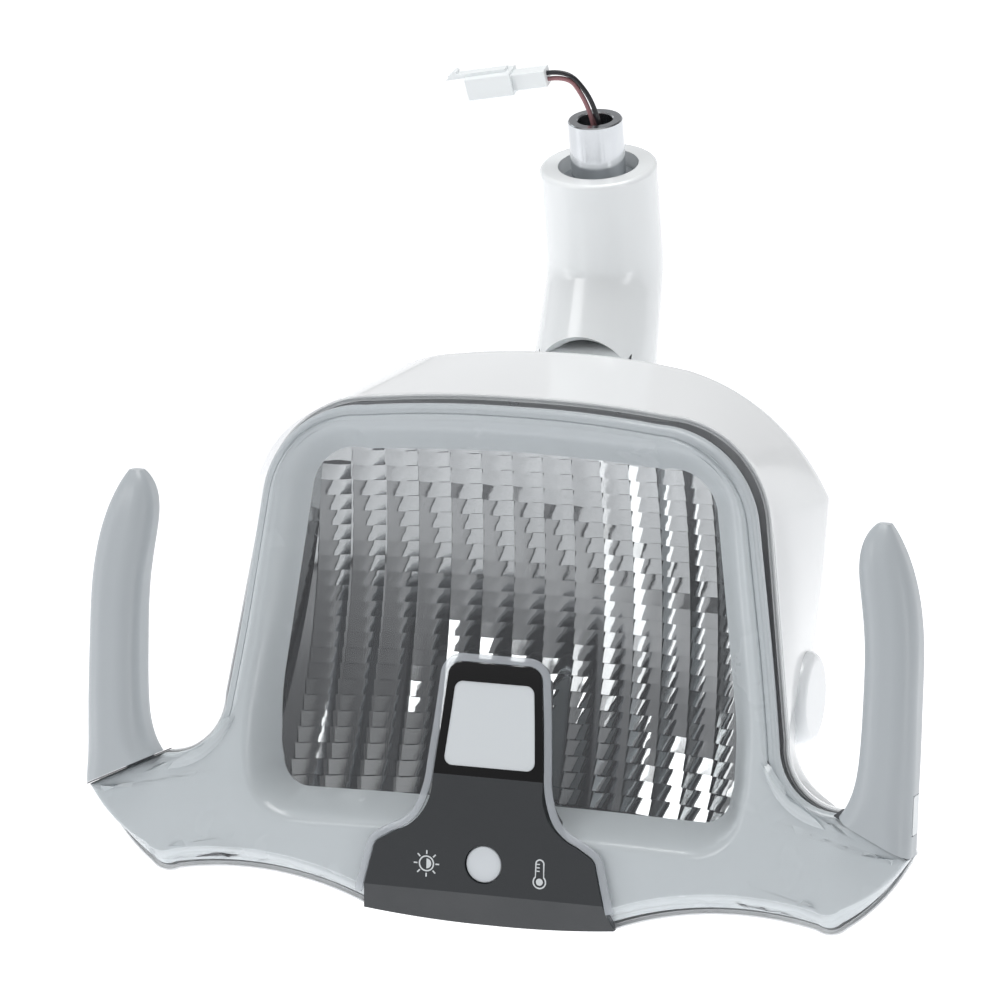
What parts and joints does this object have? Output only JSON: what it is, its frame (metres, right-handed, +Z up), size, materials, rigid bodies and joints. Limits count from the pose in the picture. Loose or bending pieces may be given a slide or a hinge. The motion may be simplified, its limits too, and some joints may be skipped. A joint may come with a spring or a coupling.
{
  "type": "dental operating light",
  "caption": "LED dental operating light head with mirror reflector, clear front cover, two pull-off handles, tilt knuckle and swivel neck on a round mounting post.",
  "frame": {"origin": "centre of the top face of the mounting post's shoulder", "axes": "+Z up the post, the lamp looks towards -Y, X across the handles"},
  "size_m": [0.3352, 0.2308, 0.2869],
  "materials": {
    "aluminium": "turned satin",
    "spring_steel": "bright",
    "rubber_black": "matt",
    "wire_black": "smooth",
    "wire_red": "smooth",
    "connector_white": "satin",
    "brass_pin": "bright",
    "neck_white": "gloss enamel",
    "bearing_plastic": "satin",
    "steel": "ground",
    "casing_white": "gloss",
    "clear_cover": "clear gloss polycarbonate",
    "bezel_grey": "gloss",
    "mirror": "faceted mirror coating on moulding",
    "panel_anthracite": "fine satin texture",
    "gloss_black": "gloss",
    "pale_window": "satin translucent",
    "button_grey": "satin",
    "circuit_green": "solder mask",
    "switch_black": "matt",
    "led_chip": "phosphor",
    "lens_clear": "clear",
    "chassis_steel": "zinc plated",
    "engine_black": "matt",
    "handle_grey": "gloss",
    "tab_white": "satin"
  },
  "bodies": {
    "mount": {"post": "aluminium", "retaining_ring": "spring_steel", "cable_grommet": "rubber_black", "wire_black": "wire_black", "wire_red": "wire_red", "connector": "connector_white", "connector_pins": "brass_pin"},
    "neck": {"neck_shell": "neck_white", "swivel_bush": "bearing_plastic", "thrust_washer": "steel", "tilt_pin": "steel", "friction_washers": "bearing_plastic", "pin_caps": "neck_white"},
    "head": {"knuckle": "neck_white", "rear_casing": "casing_white", "side_cap_left": "casing_white", "side_cap_right": "casing_white", "back_frame": "chassis_steel", "front_cover": "clear_cover", "bezel": "bezel_grey", "reflector": "mirror", "control_panel": "panel_anthracite", "sensor_surround": "gloss_black", "sensor_window": "pale_window", "tactile_switch": "switch_black", "control_board": "circuit_green", "engine_housing": "engine_black", "heat_sink": "aluminium", "led_board": "circuit_green", "leds": "led_chip", "led_lens": "lens_clear", "driver_board": "circuit_green", "knuckle_screws": "steel", "casing_screws": "steel", "handle_socket_left": "bezel_grey", "handle_socket_right": "bezel_grey"},
    "button": {"power_button": "button_grey"},
    "handle_left": {"handle_left": "handle_grey"},
    "handle_right": {"handle_right": "handle_grey"},
    "tab_left": {"release_tab_left": "tab_white"},
    "tab_right": {"release_tab_right": "tab_white"}
  },
  "joints": [
    {"name": "neck_swivel", "type": "hinge", "parent": "mount", "child": "neck", "pos_m": [0, 0, 0], "axis": [0, 0, 1], "range_deg": [-170, 170]},
    {"name": "head_tilt", "type": "hinge", "parent": "neck", "child": "head", "pos_m": [0, -0.02696, -0.08073], "axis": [1, 0, 0], "range_deg": [-15, 95]},
    {"name": "button_press", "type": "slide", "parent": "head", "child": "button", "axis": [0, 0.9426, -0.3338], "range_m": [0, 0.0008], "stiffness_N_per_m": 1500},
    {"name": "handle_left_pull", "type": "slide", "parent": "head", "child": "handle_left", "axis": [0, 0.3338, 0.9426], "range_m": [0, 0.035]},
    {"name": "handle_right_pull", "type": "slide", "parent": "head", "child": "handle_right", "axis": [0, 0.3338, 0.9426], "range_m": [0, 0.035]},
    {"name": "tab_left_press", "type": "slide", "parent": "handle_left", "child": "tab_left", "axis": [1, 0, 0], "range_m": [0, 0.0015], "stiffness_N_per_m": 1500},
    {"name": "tab_right_press", "type": "slide", "parent": "handle_right", "child": "tab_right", "axis": [-1, 0, 0], "range_m": [0, 0.0015], "stiffness_N_per_m": 1500}
  ]
}
